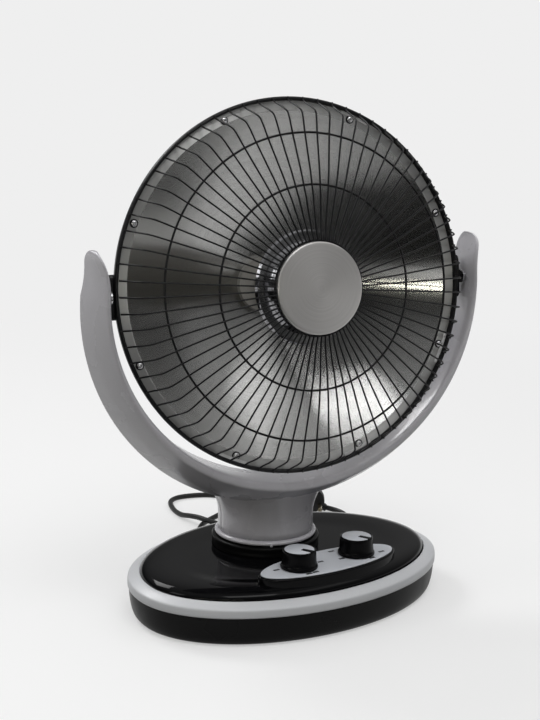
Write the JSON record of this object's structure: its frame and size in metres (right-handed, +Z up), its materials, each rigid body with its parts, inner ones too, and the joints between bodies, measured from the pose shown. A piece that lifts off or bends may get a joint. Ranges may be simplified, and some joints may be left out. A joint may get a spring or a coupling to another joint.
{
  "type": "parabolic heater",
  "caption": "Free-standing parabolic dish heater: spun reflector behind a radial wire guard, tilting in a swivelling yoke on an oval base with a heat knob, a timer knob and a mains lead.",
  "frame": {"origin": "on the floor under the middle of the oval base's widest line", "axes": "+Z up, -Y towards the front of the base, +X to the right seen from the front"},
  "size_m": [0.421, 0.4515, 0.5109],
  "materials": {
    "black_satin": "satin moulded",
    "black_gloss": "high gloss",
    "trim_silver": "metallic silver paint",
    "plate_silver": "satin silver paint",
    "rubber": "matte",
    "screw_steel": "zinc plated",
    "ballast_steel": "rough",
    "switch_plastic": "moulded",
    "knob_black": "satin",
    "gear_nylon": "natural",
    "motor_steel": "plated",
    "tube_steel": "turned",
    "yoke_silver": "metallic silver paint",
    "spun_aluminium": "spun and brushed",
    "black_enamel": "satin enamel",
    "clip_steel": "bright",
    "cup_chrome": "polished",
    "cap_aluminium": "satin",
    "ceramic": "glazed ceramic",
    "element_metal": "oxidised heating alloy",
    "cord_black": "smooth",
    "pin_brass": "nickel-plated brass"
  },
  "bodies": {
    "base": {"base_pan": "black_satin", "trim_ring": "trim_silver", "top_cover": "black_gloss", "control_pod": "black_gloss", "control_plate": "plate_silver", "rubber_feet": "rubber", "base_screws": "screw_steel", "ballast_plate": "ballast_steel", "heat_switch": "switch_plastic", "timer_unit": "switch_plastic", "tip_switch": "switch_plastic", "swivel_collar": "black_satin", "thrust_washer": "gear_nylon", "swing_motor": "motor_steel", "cord_gland": "cord_black", "mains_lead": "cord_black", "lead_coil": "cord_black", "lead_tail": "cord_black", "plug_body": "cord_black", "plug_pins": "pin_brass"},
    "yoke": {"swivel_tube": "tube_steel", "swing_gear": "gear_nylon", "tube_clip": "screw_steel", "neck_ring": "yoke_silver", "yoke_front_shell": "yoke_silver", "arm_cover_left": "yoke_silver", "arm_cover_right": "yoke_silver", "neck_rear_cover": "yoke_silver", "yoke_screws": "screw_steel"},
    "dish": {"pivot_pins": "screw_steel", "pivot_nuts": "screw_steel", "pivot_brackets": "black_satin", "reflector": "spun_aluminium", "guard_rim": "black_enamel", "guard_wires": "black_enamel", "guard_rings": "black_enamel", "guard_clips": "clip_steel", "rim_screws": "screw_steel", "hub_plate": "clip_steel", "cap_cup": "cup_chrome", "centre_cap": "cap_aluminium", "cap_screw": "screw_steel", "ceramic_base": "ceramic", "ceramic_core": "ceramic", "heating_coil": "element_metal", "terminal_block": "ceramic", "thermal_cutout": "switch_plastic", "rear_housing": "black_enamel", "housing_screws": "screw_steel"},
    "heat_control": {"heat_knob": "knob_black", "heat_knob_cap": "plate_silver", "heat_spindle": "screw_steel"},
    "timer_control": {"timer_knob": "knob_black", "timer_knob_cap": "plate_silver", "timer_spindle": "screw_steel"},
    "tip_sensor": {"tip_plunger": "switch_plastic"},
    "motor_pinion": {"drive_pinion": "gear_nylon"}
  },
  "joints": [
    {"name": "swing", "type": "hinge", "parent": "base", "child": "yoke", "pos_m": [0, 0.0391, 0.06], "axis": [0, 0, 1], "range_deg": [-23.5, 46.5]},
    {"name": "tilt", "type": "hinge", "parent": "yoke", "child": "dish", "pos_m": [-0.0123, -0.02136, 0.3261], "axis": [-0.9799, 0.1994, 0], "range_deg": [-15, 22]},
    {"name": "pinion_turn", "type": "hinge", "parent": "base", "child": "motor_pinion", "pos_m": [0.048, 0.0391, 0.016], "axis": [0, 0, 1], "range_deg": [-178, 91]},
    {"name": "heat_turn", "type": "hinge", "parent": "base", "child": "heat_control", "pos_m": [-0.0352, -0.0677, 0.0596], "axis": [0, 0, 1], "range_deg": [-113, 57]},
    {"name": "timer_turn", "type": "hinge", "parent": "base", "child": "timer_control", "pos_m": [0.0352, -0.0677, 0.0596], "axis": [0, 0, 1], "range_deg": [-143, 31]},
    {"name": "tip_slide", "type": "slide", "parent": "base", "child": "tip_sensor", "axis": [0, 0, -1], "range_m": [0, 0.005], "stiffness_N_per_m": 30, "springref_m": 0.005}
  ],
  "couplings": [
    {"joint": "pinion_turn", "follows": "swing", "ratio": -3.8}
  ]
}
